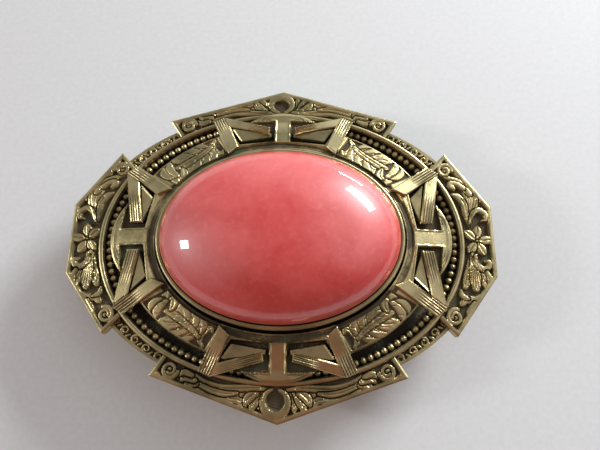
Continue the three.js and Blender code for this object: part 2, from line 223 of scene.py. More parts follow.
# ==================================================================================================
# Antiqued stamped brass. The die-struck sheet was dipped to blacken it and then rubbed, so that the
# high points are bare yellow metal, the hollows keep a brown patina, and the flats between are an
# uneven olive. Deep crevices are painted nearly black with dirt and painted shade. The bare metal
# is full of rubbing scratches.
# ==================================================================================================
def brass_material(name, bare, dull, patina, shine, hold, scratch):
    """Brass that keeps its patina where the mesh's patina attribute says, with painted shade darkening and
    dulling its crevices.
    """
    material, tree, shader = new_material(name)
    where = add_node(tree, "ShaderNodeTexCoord").outputs["Object"]
    cloud = noise(tree, where, 300.0, 5.0)
    grit = noise(tree, where, 2600.0, 3.0)
    metal = blend(tree, spread(tree, cloud, 0.40, 0.66), bare, dull)
    struck = add_node(tree, "ShaderNodeAttribute", {"attribute_name": "patina"}).outputs["Fac"]
    patchy = maths(tree, "MULTIPLY_ADD", grit, 0.5, struck)
    # The tarnish lies in soft clouds a few millimetres across.
    uneven = spread(tree, cloud, 0.3, 0.7, -0.22, 0.30)
    cover = spread(tree, maths(tree, "ADD", patchy, uneven), hold, hold + 0.6)
    # Verdigris has started here and there in the patina.
    growth = spread(tree, noise(tree, where, 420.0), 0.56, 0.72, 0.0, 0.75)
    browned = blend(tree, cover, metal, blend(tree, growth, patina, "#4d6048"))
    # Old polish and dirt packed into the crevices, darker than the patina itself, and painted shade: the more
    # a place is occluded, the darker and duller it is painted.
    crevice_occlusion = add_node(tree, "ShaderNodeAmbientOcclusion", {"samples": 8}, {"Distance": 0.0012})
    packed_dirt_and_shade = spread(tree, crevice_occlusion.outputs["AO"], 0.52, 0.12)
    tree.links.new(blend(tree, packed_dirt_and_shade, browned, "#17110a"), shader.inputs["Base Color"])
    hidden = maths(tree, "MAXIMUM", cover, packed_dirt_and_shade)
    tree.links.new(spread(tree, hidden, 0.0, 1.0, 1.0, 0.35), shader.inputs["Metallic"])
    rough = spread(tree, hidden, 0.0, 1.0, shine, 0.58)
    tree.links.new(maths(tree, "MULTIPLY_ADD", cloud, 0.16, rough), shader.inputs["Roughness"])
    # Rubbing scratches about 0.06 mm across and ten times as long, over a fine grain.
    scratches = drawn_lines(tree, where, (1500.0, 15000.0, 15000.0), angle=0.5)
    add_bump(tree, shader, maths(tree, "MULTIPLY_ADD", grit, 0.9, scratches), scratch, 0.00005)
    return material


antiqued_brass = brass_material(
    "antiqued_stamped_brass", "#cdbf8f", "#979069", "#4c412b", shine=0.27, hold=0.54, scratch=0.34)


def in_order(items):
    """Each item once, in the order in which they come, so that every run makes the same mesh."""
    return list(dict.fromkeys(items))


def vertex_layer(bm, name):
    """The mesh's layer of one number per vertex with this name, made when it is missing."""
    return bm.verts.layers.float.get(name) or bm.verts.layers.float.new(name)


def finish_piece(name, bm, material, body="brooch", nodes=(), crease=38):
    """Turns a mesh made in millimetres into a piece in the object's frame, on its body."""
    into_frame = Matrix.Translation((middle.x, middle.y, 0)) @ Matrix.Scale(MM, 4)
    bmesh.ops.transform(bm, matrix=into_frame, verts=bm.verts)
    bmesh.ops.recalc_face_normals(bm, faces=bm.faces)
    mesh = bpy.data.meshes.new(name)
    bm.to_mesh(mesh)
    bm.free()
    mesh.shade_smooth()
    mesh.set_sharp_from_angle(angle=math.radians(crease))
    mesh.materials.append(material)
    piece = bpy.data.objects.new(name, mesh)
    bpy.context.scene.collection.objects.link(piece)
    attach(piece, body)
    if nodes:
        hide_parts(*nodes)
    return piece


# ==================================================================================================
# Outer frame. One hollow stamping of thin brass sheet: four raised wings with a plain turned-down
# border and a sunken field filled with leaves and scrolls, joined by four low border segments with
# small scrolls of their own. It is soldered round its rim to the back plate.
# ==================================================================================================
RAIL_OUTSIDE = (24.35, 18.55)            # half length along X and Y of each oval, in mm
BORDER_OUTSIDE = (26.85, 19.3)
CORNER = (16.1, 17.35)                   # end of a top or bottom wing
FOOT = (14.45, 14.9)                     # where that end meets the rail
PEAK = {1: 22.1, -1: 22.9}               # the bottom wing is a little deeper than the top one
SIDE_CORNER = (22.5, 12.4)
SIDE_FOOT = (20.55, 10.25)
SHOULDER = (28.2, 4.7)
SEGMENT_FLOOR = SEAT + 0.4
SEGMENT_RISE = 0.3
BORDER_WIDTH = 0.58
FIELD_DEPTH = 0.42
SLOPE = 0.13                             # mm that the side of a struck lobe takes to fall away
LOBE_FULLNESS = 1.42                     # the lobes are drawn slim and swell by this much
LOBE_CROWN = 0.24                        # share of a lobe's height that is rounded; the rest is its flat
OUTLINE_WIDTH = 0.09                     # the sunk line round a lobe
PATH_SPACING = 0.06                      # between the points of a curve
HATCH = 0.32                             # mm between the lines on bare ground
HATCH_DEPTH = 0.05


def smooth_path(points):
    """Points at a close spacing on one smooth curve through a few given places."""
    places = np.array(points, float)
    padded = np.vstack((2 * places[0] - places[1], places, 2 * places[-1] - places[-2]))
    run = []
    for a, b, c, d in zip(padded, padded[1:], padded[2:], padded[3:]):
        steps = max(2, int(np.linalg.norm(c[:2] - b[:2]) / PATH_SPACING))
        t = np.linspace(0, 1, steps, endpoint=False)[:, None]
        run.append(0.5 * (2 * b + (c - a) * t + (2 * a - 5 * b + 4 * c - d) * t**2
                          + (3 * b - a - 3 * c + d) * t**3))
    return np.vstack((*run, places[-1]))


def lobe(points, rise=0.4, vein=0.0):
    """One raised leaf or stem through (x, y, half width), its height, and a vein cut along it."""
    path = smooth_path(points)
    path[:, 2] *= LOBE_FULLNESS
    if not vein:
        return [(path, rise)]
    line = path[len(path) // 10:-max(1, len(path) // 5)].copy()
    line[:, 2] = 0.07
    return [(path, rise), (line, -vein)]


def cut(points, depth=0.2, half=0.07):
    """A graver's line through (x, y) places."""
    return [(smooth_path([(*place, half) for place in points]), -depth)]


def volute(x, y, radius, start, turns, width=0.25, rise=0.42):
    """A scroll that winds in from a start angle in degrees; negative turns wind clockwise."""
    run = []
    steps = int(24 * abs(turns))
    for i in range(steps + 1):
        share = i / steps
        angle = math.radians(start) + turns * math.tau * share
        reach = radius * (1 - 0.62 * share)
        run.append((x + reach * math.cos(angle), y + reach * math.sin(angle), width * (1 - 0.3 * share)))
    boss = radius * 0.32
    return lobe([(x - 0.02, y, boss), (x + 0.02, y, boss)], rise) + lobe(run, rise)


def mirrored(ornament, sx, sy):
    """The same ornament on the other side of the brooch."""
    return [(path * np.array((sx, sy, 1.0)), rise) for path, rise in ornament]


def ease(value, low, high):
    """A smooth step from 0 at low to 1 at high."""
    share = np.clip((value - low) / (high - low), 0, 1)
    return share * share * (3 - 2 * share)


def relief(points, ornament, outline=OUTLINE_WIDTH):
    """Height of the ornament at each point.

    The lobes lie over one another in their order, each with a sunk line round it as the die has,
    and the graver's lines are cut in them last.
    """
    height = np.zeros(len(points))
    for path, rise in sorted(ornament, key=lambda item: item[1] < 0):
        places, half = path[:, :2], path[:, 2]
        low, high = places.min(0) - half.max() * 2, places.max(0) + half.max() * 2
        near = np.nonzero(((points > low) & (points < high)).all(1))[0]
        if not len(near):
            continue
        off = np.linalg.norm(points[near, None] - places[None], axis=2) / half
        closest = off.argmin(1)
        share = off[np.arange(len(near)), closest]
        if rise < 0:
            height[near] += rise * np.exp(-share**2) * (height[near] > -rise)
            continue
        inwards = (1 - share) * half[closest]
        height[near] *= np.where(inwards < 0, ease(-inwards, 0.0, outline), 1.0)
        crown = np.sqrt(np.clip(1 - share**2, 0, 1))
        bump = rise * ((1 - LOBE_CROWN) * ease(inwards, 0, SLOPE) + LOBE_CROWN * crown)
        height[near] = np.where(inwards > 0, bump, height[near])
    return height


def edge_distance(points, outline):
    """How far each point lies inside a closed outline, negative outside it."""
    nearest = np.full(len(points), 1e9)
    inside = np.zeros(len(points), bool)
    for a, b in zip(outline, np.roll(outline, -1, axis=0)):
        side = b - a
        share = np.clip(((points - a) @ side) / (side @ side), 0, 1)
        nearest = np.minimum(nearest, np.linalg.norm(points - a - share[:, None] * side, axis=1))
        crosses = (a[1] > points[:, 1]) != (b[1] > points[:, 1])
        level = np.where(crosses, b[1] - a[1], 1.0)
        inside ^= crosses & (points[:, 0] < a[0] + side[0] * (points[:, 1] - a[1]) / level)
    return np.where(inside, nearest, -nearest)


def on_oval(oval, place):
    """The angle at which an oval passes a place, counted as the oval's own parameter."""
    return math.atan2(place[1] / oval[1], place[0] / oval[0])


def oval_line(oval, start, end):
    """A line along an oval between two parameter angles, as a function of 0 to 1."""
    def at(share):
        angle = start + (end - start) * share
        return np.stack((oval[0] * np.cos(angle), oval[1] * np.sin(angle)), axis=-1)
    return at


def straight_line(places):
    """A line through corners, as a function of 0 to 1 with the corners evenly spaced."""
    corners = np.array(places, float)
    steps = np.linspace(0, 1, len(corners))
    return lambda share: np.stack([np.interp(share, steps, corners[:, i]) for i in (0, 1)], axis=-1)


def relief_sheet(bm, inner, outer, cells, surface, underside, ring=False):
    """A sheet between two lines that surface(points) raises, its edges turned down to a flat.

    surface gives each point's height and the patina it keeps. A ring runs all the way round, and
    its grid is joined where the two ends meet.
    """
    layer = vertex_layer(bm, "patina")
    grid = bmesh.ops.create_grid(bm, x_segments=cells[0], y_segments=cells[1], size=0.5)["verts"]
    flat = np.array([(v.co.x + 0.5, v.co.y + 0.5) for v in grid])
    start, end = inner(flat[:, 0]), outer(flat[:, 0])
    points = start + (end - start) * flat[:, 1:2]
    level, stain = surface(points)
    for vert, place, z, dark in zip(grid, points, level, stain):
        vert.co = (*place, z)
        vert[layer] = dark
    faces = in_order(face for vert in grid for face in vert.link_faces)
    if ring:
        bmesh.ops.remove_doubles(bm, verts=grid, dist=0.001)
    rim = [edge for edge in in_order(edge for face in faces for edge in face.edges) if edge.is_boundary]
    lowered = bmesh.ops.extrude_edge_only(bm, edges=rim)["geom"]
    for vert in (item for item in lowered if isinstance(item, bmesh.types.BMVert)):
        vert.co.z = underside if not callable(underside) else vert.co.z - underside(vert.co)
        vert[layer] = 0.3
    bottom = [item for item in lowered if isinstance(item, bmesh.types.BMEdge) and item.is_boundary]
    if ring:
        bmesh.ops.bridge_loops(bm, edges=bottom)
    else:
        bmesh.ops.edgeloop_fill(bm, edges=bottom)


def wing_surface(edges, ornament):
    """Field, border band and ornament of one wing, with the patina that its hollows keep.

    The band runs along the free edges only; the rail closes the field on the fourth side.
    """
    outline = np.vstack((edges, edges[[-1, 0]] * 0.5))

    def surface(points):
        inside = edge_distance(points, outline)
        band = 1 - ease(inside, BORDER_WIDTH - 0.1, BORDER_WIDTH + 0.06)
        field = WING_TOP - FIELD_DEPTH
        level = field + np.maximum(relief(points, ornament), band * FIELD_DEPTH)
        # Bare ground is lined with a graver, the lines running along the edge.
        ground = level < field + 0.04
        level -= ground * HATCH_DEPTH * (0.5 + 0.5 * np.cos(math.tau * inside / HATCH))
        level -= 0.1 * (1 - ease(inside, 0.0, 0.16))
        return level, 1 - np.clip((level - field) / (FIELD_DEPTH * 0.75), 0, 1)
    return surface


# Leaves and scrolls of a top or bottom wing, its right half, with Y counted outwards.
tall_ornament = [
    *lobe([(4.25, 20.85, 0.26), (4.5, 20.35, 0.36), (5.1, 20.05, 0.38), (6.4, 19.9, 0.40), (8.3, 19.4, 0.38),
           (10.3, 18.45, 0.28)], vein=0.12),
    *lobe([(1.45, 19.05, 0.35), (2.4, 19.15, 0.5), (3.4, 19.3, 0.5), (4.3, 19.3, 0.4)]),
    *lobe([(1.75, 19.3, 0.35), (2.05, 20.3, 0.5), (2.0, 21.35, 0.2)], vein=0.2),
    *lobe([(2.2, 19.2, 0.4), (2.9, 20.2, 0.55), (3.15, 21.2, 0.24)], vein=0.2),
    *lobe([(2.7, 19.2, 0.4), (3.6, 19.9, 0.45), (3.95, 20.6, 0.24)], vein=0.2),
    *lobe([(1.1, 18.9, 0.2), (3.0, 18.68, 0.3), (5.0, 18.75, 0.36), (7.0, 18.72, 0.38), (8.9, 18.2, 0.36),
           (10.4, 17.35, 0.3), (11.7, 16.6, 0.22)], vein=0.14),
    *lobe([(5.0, 19.35, 0.2), (6.6, 19.4, 0.3), (8.4, 18.95, 0.3), (10.4, 18.0, 0.2)], 0.38, vein=0.1),
    *lobe([(10.1, 18.3, 0.3), (11.0, 18.3, 0.38), (11.5, 18.65, 0.16)], vein=0.15),
    *lobe([(10.3, 17.9, 0.3), (11.4, 17.55, 0.38), (12.0, 17.95, 0.16)], vein=0.15),
    *lobe([(10.6, 17.3, 0.25), (11.6, 16.95, 0.32), (12.3, 17.3, 0.2)]),
    *lobe([(14.3, 17.6, 0.16), (14.9, 17.3, 0.24), (15.1, 16.9, 0.12)], 0.36),
    *volute(13.45, 16.65, 1.02, 165, -1.35),
]
# The open ring at the peak, round a dark hollow.
RING_AT = (-0.3, 20.35)
RING_RADIUS = 1.52
ring_path = []
for degrees in range(-70, 256, 12):
    turn = math.radians(degrees)
    ring_path.append((
        RING_AT[0] + RING_RADIUS * math.cos(turn), RING_AT[1] + RING_RADIUS * math.sin(turn),
        0.2 + 0.22 * math.sin(math.radians((degrees + 70) * 0.56)),
    ))
peak_ring = lobe(ring_path, 0.44)
# A side wing, right-hand one: five-petalled flower, curled leaf above, fan of lined leaf below.
FLOWER_X = 25.9
PETALS = ((82, 2.2), (6, 2.2), (-62, 2.2), (-126, 2.05), (136, 2.1))      # degrees, reach in mm
side_ornament = lobe([(FLOWER_X - 0.02, 0, 0.34), (FLOWER_X + 0.02, 0, 0.34)], 0.5)
for degrees, reach in PETALS:
    turn = math.radians(degrees)
    side_ornament += lobe([
        (FLOWER_X + out * reach * math.cos(turn), out * reach * math.sin(turn), half)
        for out, half in ((0.2, 0.16), (0.5, 0.45), (0.72, 0.38), (1.0, 0.05))
    ], 0.44, vein=0.16)
side_ornament += [
    # A broad leaf grows up from the flower, joined to the border along its back.
    *lobe([(24.0, 9.7, 0.4), (25.2, 8.1, 0.5), (26.3, 6.6, 0.52), (26.7, 5.7, 0.3)]),
    *lobe([(25.2, 6.9, 0.5), (25.7, 5.9, 0.66), (25.6, 4.7, 0.6), (25.2, 3.4, 0.4), (25.2, 2.2, 0.2)]),
    *lobe([(23.2, 6.5, 0.2), (24.0, 6.1, 0.34), (24.6, 5.2, 0.36), (24.8, 4.1, 0.34), (25.0, 2.6, 0.2)]),
    *lobe([(25.15, 2.4, 0.16), (25.75, 3.8, 0.26), (26.5, 4.3, 0.32), (27.3, 3.8, 0.3), (27.35, 2.95, 0.22),
           (26.8, 2.8, 0.14)], 0.46),
    *lobe([(21.75, 9.4, 0.2), (22.6, 8.95, 0.24), (23.9, 8.5, 0.3), (24.9, 7.7, 0.4), (25.5, 6.7, 0.4)]),
    *lobe([(23.4, 7.35, 0.26), (22.95, 7.75, 0.34), (23.1, 8.15, 0.3), (23.9, 8.0, 0.28),
           (24.7, 7.4, 0.3)], 0.46),
    *cut([(26.0, 6.3), (25.9, 5.2), (25.45, 4.0), (25.15, 2.8)]),
    *cut([(25.2, 6.3), (25.4, 5.2), (25.15, 4.0), (25.1, 2.9)]),
    *cut([(26.4, 5.7), (26.15, 4.9), (25.6, 3.7), (25.2, 2.7)]),
    *cut([(24.35, 5.9), (24.8, 5.0), (24.95, 3.9), (25.1, 2.9)]),
    *cut([(24.6, 8.5), (25.7, 7.0), (26.35, 5.9)]),
    *volute(22.35, 9.95, 1.0, 0, 1.3),
    # The fan: one leaf of three fingers, with fine lines spreading down it.
    *lobe([(25.1, -1.9, 0.26), (24.8, -3.6, 0.44), (24.4, -5.0, 0.5), (23.95, -6.1, 0.26)]),
    *lobe([(25.4, -1.9, 0.26), (25.8, -3.6, 0.44), (26.3, -5.0, 0.52), (26.75, -6.0, 0.28)]),
    *lobe([(25.25, -1.8, 0.26), (25.3, -3.6, 0.48), (25.35, -5.2, 0.56), (25.35, -6.4, 0.3)]),
    *lobe([(25.6, -1.9, 0.18), (25.65, -3.0, 0.28), (26.4, -3.75, 0.34), (27.15, -3.5, 0.32),
           (27.3, -2.85, 0.26), (26.85, -2.7, 0.18)], 0.46),
    *lobe([(26.9, -4.2, 0.25), (27.2, -4.9, 0.3), (27.0, -5.6, 0.16)]),
    *lobe([(26.9, -6.9, 0.26), (26.1, -7.4, 0.4), (25.1, -7.8, 0.44), (24.0, -7.7, 0.4), (23.4, -8.2, 0.34)]),
    *lobe([(23.35, -6.5, 0.16), (23.45, -7.2, 0.3), (24.2, -7.6, 0.2)]),
    *lobe([(24.9, -8.1, 0.2), (24.3, -9.0, 0.28), (24.0, -9.8, 0.16)], 0.36),
    *volute(22.35, -9.95, 1.02, 70, 1.35),
]
for line in range(-4, 5):
    aside = line / 4
    side_ornament += cut([
        (25.25 + 0.15 * aside, -2.1), (25.3 + 0.75 * aside, -3.8),
        (25.35 + 1.45 * aside, -6.3 + 0.5 * abs(aside)),
    ], 0.2, 0.06)

bm = bmesh.new()
for side in (1, -1):
    start, end = on_oval(RAIL_OUTSIDE, FOOT), math.pi - on_oval(RAIL_OUTSIDE, FOOT)
    foot_line = oval_line(RAIL_OUTSIDE, start, end)
    edge_line = straight_line([CORNER, (0, PEAK[side]), (-CORNER[0], CORNER[1])])
    edges = np.array([FOOT, CORNER, (0, PEAK[side]), (-CORNER[0], CORNER[1]), (-FOOT[0], FOOT[1])])
    # The top wing is shallower, so its ornament is drawn in towards the rail at the peak.
    squeeze = (PEAK[side] - RAIL_OUTSIDE[1]) / (PEAK[-1] - RAIL_OUTSIDE[1])
    ornament = []
    for path, rise in tall_ornament + mirrored(tall_ornament, -1, 1) + peak_ring:
        path = path.copy()
        central = np.clip(1 - np.abs(path[:, 0]) / CORNER[0], 0, 1)
        path[:, 1] = RAIL_OUTSIDE[1] + (path[:, 1] - RAIL_OUTSIDE[1]) * (1 - (1 - squeeze) * central)
        ornament.append((path, rise))
    turn = np.array((1, side))
    relief_sheet(
        bm, lambda u: foot_line(u) * turn, lambda u: edge_line(u) * turn, (360, 46),
        wing_surface(edges * turn, mirrored(ornament, 1, side)), SEAT)

    reach = on_oval(RAIL_OUTSIDE, SIDE_FOOT)
    side_foot = oval_line(RAIL_OUTSIDE, -reach, reach)
    low_shoulder, low_corner = (SHOULDER[0], -SHOULDER[1]), (SIDE_CORNER[0], -SIDE_CORNER[1])
    side_edge = straight_line([low_corner, low_shoulder, SHOULDER, SIDE_CORNER])
    low_foot = (SIDE_FOOT[0], -SIDE_FOOT[1])
    edges = np.array([low_foot, low_corner, low_shoulder, SHOULDER, SIDE_CORNER, SIDE_FOOT])
    turn = np.array((side, 1))
    relief_sheet(
        bm, lambda u: side_foot(u) * turn, lambda u: side_edge(u) * turn, (280, 46),
        wing_surface(edges * turn, mirrored(side_ornament, side, 1)), SEAT)

# The low segments between the wings, each with five little scrolls that turn alternate ways.
for sx in (1, -1):
    for sy in (1, -1):
        begin, finish = on_oval(RAIL_OUTSIDE, SIDE_FOOT) - 0.02, on_oval(RAIL_OUTSIDE, FOOT) + 0.03
        inner, outer = oval_line(RAIL_OUTSIDE, begin, finish), oval_line(BORDER_OUTSIDE, begin, finish)
        mid = [hole * 0.58 + edge * 0.42 for hole, edge in zip(RAIL_OUTSIDE, BORDER_OUTSIDE)]
        scrolls = []
        for count in range(5):
            place = oval_line(mid, begin, finish)(0.09 + 0.205 * count)
            odd = count % 2
            scrolls += volute(*place, 0.56, 250 - 200 * odd, -1.15 if odd else 1.15, 0.17, SEGMENT_RISE)
            if count < 4:
                link = [oval_line(oval, begin, finish)(0.19 + 0.205 * count) for oval in
                        ((RAIL_OUTSIDE, BORDER_OUTSIDE) if odd else (BORDER_OUTSIDE, RAIL_OUTSIDE))]
                bend = (link[0] * 0.6 + link[1] * 0.4), (link[0] * 0.35 + link[1] * 0.65)
                scrolls += lobe([(*bend[0], 0.14), (*bend[1], 0.18)], SEGMENT_RISE)
        scrolls = mirrored(scrolls, sx, sy)
        turn = np.array((sx, sy))

        def segment_surface(points):
            reach = np.hypot(points[:, 0] / BORDER_OUTSIDE[0], points[:, 1] / BORDER_OUTSIDE[1])
            lip = ease(reach, 0.978, 0.984) * SEGMENT_RISE
            rise = np.maximum(relief(points, scrolls), lip)
            return SEGMENT_FLOOR + rise, 1 - np.clip(rise / (SEGMENT_RISE * 0.75), 0, 1)

        relief_sheet(
            bm, lambda u: inner(u) * turn, lambda u: outer(u) * turn, (120, 26), segment_surface, SEAT)
finish_piece("outer_frame_stamping", bm, antiqued_brass, nodes=["outer_frame"])


# ==================================================================================================
# Rail. A half-round brass wire bent to an oval and soldered inside the outer frame, so that it
# stands just above the wings; its crown is rubbed bright.
# ==================================================================================================
polished_brass = brass_material(
    "rubbed_brass", "#d0c294", "#a49b70", "#574b33", shine=0.25, hold=0.62, scratch=0.30)


def oval_ring(bm, section, steps=200):
    """A ring, or a dome where the half lengths fall to 0, from (half X, half Y, z, patina) places."""
    patina, ratio = vertex_layer(bm, "patina"), vertex_layer(bm, "ratio")
    chain = []
    for half_x, half_y, z, dark in section:
        vert = bm.verts.new((half_x, 0, z))
        vert[patina] = dark
        vert[ratio] = half_y / half_x if half_x else 1.0
        chain.append(vert)
    edges = [bm.edges.new(pair) for pair in zip(chain, chain[1:])]
    if section[0][0] and section[-1][0]:
        edges.append(bm.edges.new((chain[-1], chain[0])))
    bmesh.ops.spin(
        bm, geom=chain + edges, cent=(0, 0, 0), axis=(0, 0, 1), dvec=(0, 0, 0),
        angle=math.tau, steps=steps, use_merge=True)
    bmesh.ops.remove_doubles(bm, verts=bm.verts, dist=1e-5)
    for vert in bm.verts:
        vert.co.y *= vert[ratio]


FRAME_HOLE = (23.65, 17.85)
RAIL_WIDTH = 0.67
RAIL_TOP = WING_TOP + 0.1
RAIL_CROWN = 0.34                        # how much its top is rounded, in mm
RAIL_UNDERSIDE = SEAT + 0.55
section = [(FRAME_HOLE[0] + out, FRAME_HOLE[1] + out, RAIL_UNDERSIDE, 0.9) for out in (0, RAIL_WIDTH)]
for step in range(9):
    angle = math.pi * step / 8
    out = RAIL_WIDTH * (0.5 + 0.5 * math.cos(angle))
    rise = RAIL_CROWN * math.sin(angle) ** 0.6
    rubbed = 0.55 - 0.55 * rise / RAIL_CROWN
    section.append((FRAME_HOLE[0] + out, FRAME_HOLE[1] + out, RAIL_TOP - RAIL_CROWN + rise, rubbed))
bm = bmesh.new()
oval_ring(bm, section, 260)
finish_piece("rail", bm, polished_brass, nodes=["rail_wire"])

# ==================================================================================================
# Beaded wire. A drawn brass wire rolled between grooved rollers into a row of 130 beads, bent
# to an oval and laid in the channel between the rail and the inner frame, which is painted dark
# with tarnish and painted shade.
# ==================================================================================================
BEAD_LINE = (23.15, 17.28)
BEAD_COUNT = 130
BEAD_RADIUS = 0.44
WIRE_RADIUS = 0.26
BEAD_HEIGHT = SEAT + 0.55
BEAD_STRETCH = 1.2                       # each bead is a little longer across the wire
TRAVEL_STEPS = 4001                      # places along the wire at which its length is counted
bm = bmesh.new()
section = []
for step in range(8):
    angle = math.tau * step / 8
    across, up = WIRE_RADIUS * math.cos(angle), WIRE_RADIUS * math.sin(angle)
    section.append((BEAD_LINE[0] + across, BEAD_LINE[1] + across, BEAD_HEIGHT - 0.1 + up, 1.0))
oval_ring(bm, section, 260)
patina = vertex_layer(bm, "patina")
fine = oval_line(BEAD_LINE, 0, math.tau)(np.linspace(0, 1, TRAVEL_STEPS))
travel = np.concatenate(([0], np.cumsum(np.linalg.norm(np.diff(fine, axis=0), axis=1))))
for count in range(BEAD_COUNT):
    so_far = travel[-1] * (count + 0.5) / BEAD_COUNT
    x, y = oval_line(BEAD_LINE, 0, math.tau)(np.interp(so_far, travel, np.linspace(0, 1, TRAVEL_STEPS)))
    across = math.atan2(y * BEAD_LINE[0], x * BEAD_LINE[1])
    place = Matrix.Translation((x, y, BEAD_HEIGHT)) @ Matrix.Rotation(across, 4, "Z")
    bead = bmesh.ops.create_uvsphere(
        bm, u_segments=12, v_segments=8, radius=BEAD_RADIUS,
        matrix=place @ Matrix.Diagonal((BEAD_STRETCH, 1.0, 1.0, 1.0)))["verts"]
    for vert in bead:
        vert[patina] = min(1.0, max(0.0, 1.15 - 1.3 * (vert.co.z - BEAD_HEIGHT) / BEAD_RADIUS))
finish_piece("bead_row", bm, antiqued_brass, nodes=["beaded_wire"], crease=60)

# ==================================================================================================
# Inner frame. A second stamping that slopes down from the stone to the beads: a stepped ledge, four
# engraved leaf panels, and on each axis a lobe with a plain bar between two sunken windows.
# ==================================================================================================
RING_INSIDE = (16.35, 12.35)
RING_OUTSIDE = (20.9, 16.1)
LOBES = ((15.4, 7.0, 0), (10.2, 8.0, 1))      # centre along its axis, radius, axis (X is 0)
RING_UNDERSIDE = WING_TOP + 0.4
RING_INNER_TOP = WING_TOP + 1.9
RING_FALL = 0.8                               # over the width of the ring
WINDOW_FLOOR = WING_TOP + 0.7
WEDGE_TOP = WING_TOP + 1.55
SIDE_WINDOW = [(17.75, 1.15), (21.0, 1.15), (20.5, 5.0), (19.2, 7.6), (16.9, 5.9)]
TALL_WINDOW = [(1.1, 13.45), (5.85, 13.0), (7.35, 15.7), (4.6, 16.7), (1.1, 16.8)]
SIDE_WEDGE = [(17.0, 5.3), (18.2, 1.9), (18.85, 7.2)]
TALL_WEDGE = [(1.45, 14.2), (5.75, 13.45), (7.15, 15.45), (1.5, 14.75)]
LEDGE = 1.0                                   # mm, the stepped part next to the stone
PANEL_LEDGE = 0.5                             # the same beside the leaf panels, and their outer border
PANEL_RIM = 0.36
PANEL_FULLNESS = 1.15
PANEL_DEPTH = 0.17                            # the panels' ground is sunk by this much
PANEL_OUTLINE = 0.11                          # the sunk line round a leaf of the panels
PANEL_OVAL = (18.6, 14.2)                     # where the angles of a panel's ends are measured
PANEL_ENDS = (33.0, 64.0)                     # degrees from the long axis
LEDGE_LINES = (0.28, 0.52, 0.74)              # mm from the stone, on the full ledge
LOBE_LINES = (0.3, 0.55, 0.8)                 # mm from a lobe's edge
QUARTERS = ((1, 1), (-1, 1), (-1, -1), (1, -1))


def oval_reach(oval, points):
    """How far out an oval lies in the direction of each point."""
    away = np.linalg.norm(points, axis=1)
    return 1 / np.hypot(points[:, 0] / away / oval[0], points[:, 1] / away / oval[1])


def ring_edge(share):
    """The inner frame's outer line, where the four lobes stand out past the ring."""
    around = oval_line(RING_OUTSIDE, 0, math.tau)(share)
    away = np.linalg.norm(around, axis=1)
    reach = away.copy()
    for centre, radius, axis in LOBES:
        along, aside = np.abs(around[:, axis]) / away, np.abs(around[:, 1 - axis]) / away
        inside = radius**2 - (centre * aside) ** 2
        reach = np.maximum(reach, np.where(inside > 0, centre * along + np.sqrt(np.maximum(inside, 0)), 0))
    return around / away[:, None] * reach[:, None]


def in_panel(degrees, out):
    """A place in a leaf panel, from its angle and how far out it is, 0 to 1 across the panel."""
    angle = math.radians(degrees)
    return [(near + PANEL_LEDGE + (far - near - PANEL_LEDGE - PANEL_RIM) * out) * turn for near, far, turn in
            zip(RING_INSIDE, RING_OUTSIDE, (math.cos(angle), math.sin(angle)))]


def panel_lobe(places, rise=PANEL_DEPTH, vein=0.1):
    """A low leaf in a panel, through (degrees, out, half width) places."""
    path = [(*in_panel(degrees, out), half * PANEL_FULLNESS) for degrees, out, half in places]
    return lobe(path, rise, vein)


# One panel: a large leaf whose lobes lie to each side of its stem, a scroll behind it at the end by
# the top or bottom ribbon, and a bud round a pierced-looking eye at the other end.
panel = [
    *panel_lobe([(62.6, 0.94, 0.16), (60.4, 0.75, 0.24), (60.0, 0.37, 0.26), (61.6, 0.14, 0.2),
                 (63, 0.27, 0.14)]),
    *panel_lobe([(58.6, 0.56, 0.3), (57.2, 0.21, 0.5), (54.6, 0.05, 0.24)]),
    *panel_lobe([(57.6, 0.62, 0.3), (55.6, 0.84, 0.44), (53.0, 0.94, 0.2)]),
    *panel_lobe([(54.6, 0.46, 0.36), (52.6, 0.17, 0.56), (49.6, 0.03, 0.26)]),
    *panel_lobe([(53.6, 0.56, 0.34), (51.4, 0.81, 0.5), (48.4, 0.94, 0.22)]),
    *panel_lobe([(50.6, 0.43, 0.38), (47.8, 0.21, 0.6), (44.4, 0.05, 0.28)]),
    *panel_lobe([(49.6, 0.52, 0.36), (46.8, 0.78, 0.54), (43.6, 0.94, 0.24)]),
    *panel_lobe([(59.4, 0.68, 0.2), (55.0, 0.52, 0.26), (50.0, 0.46, 0.3), (45.0, 0.46, 0.34),
                 (41.6, 0.56, 0.2)], 0.2),
    *panel_lobe([(42.6, 0.40, 0.16), (41.2, 0.16, 0.34), (39.4, 0.06, 0.22), (37.6, 0.12, 0.14)]),
    *panel_lobe([(41.2, 0.96, 0.14), (39.4, 0.82, 0.36), (37.8, 0.56, 0.40), (38.0, 0.28, 0.2)], vein=0),
    *panel_lobe([(37.4, 0.96, 0.12), (35.8, 0.82, 0.30), (35.0, 0.58, 0.28), (35.6, 0.36, 0.16)], vein=0),
    *panel_lobe([(36.6, 0.14, 0.14), (35.2, 0.10, 0.24), (34.4, 0.24, 0.14)], vein=0),
]
for step in range(14):
    degrees, out = 60 - step * 1.5, 0.12 + 0.3 * (step * 7 % 5) / 2
    panel += cut([in_panel(degrees, out), in_panel(degrees - 2.2, out + 0.16)], 0.07, 0.05)


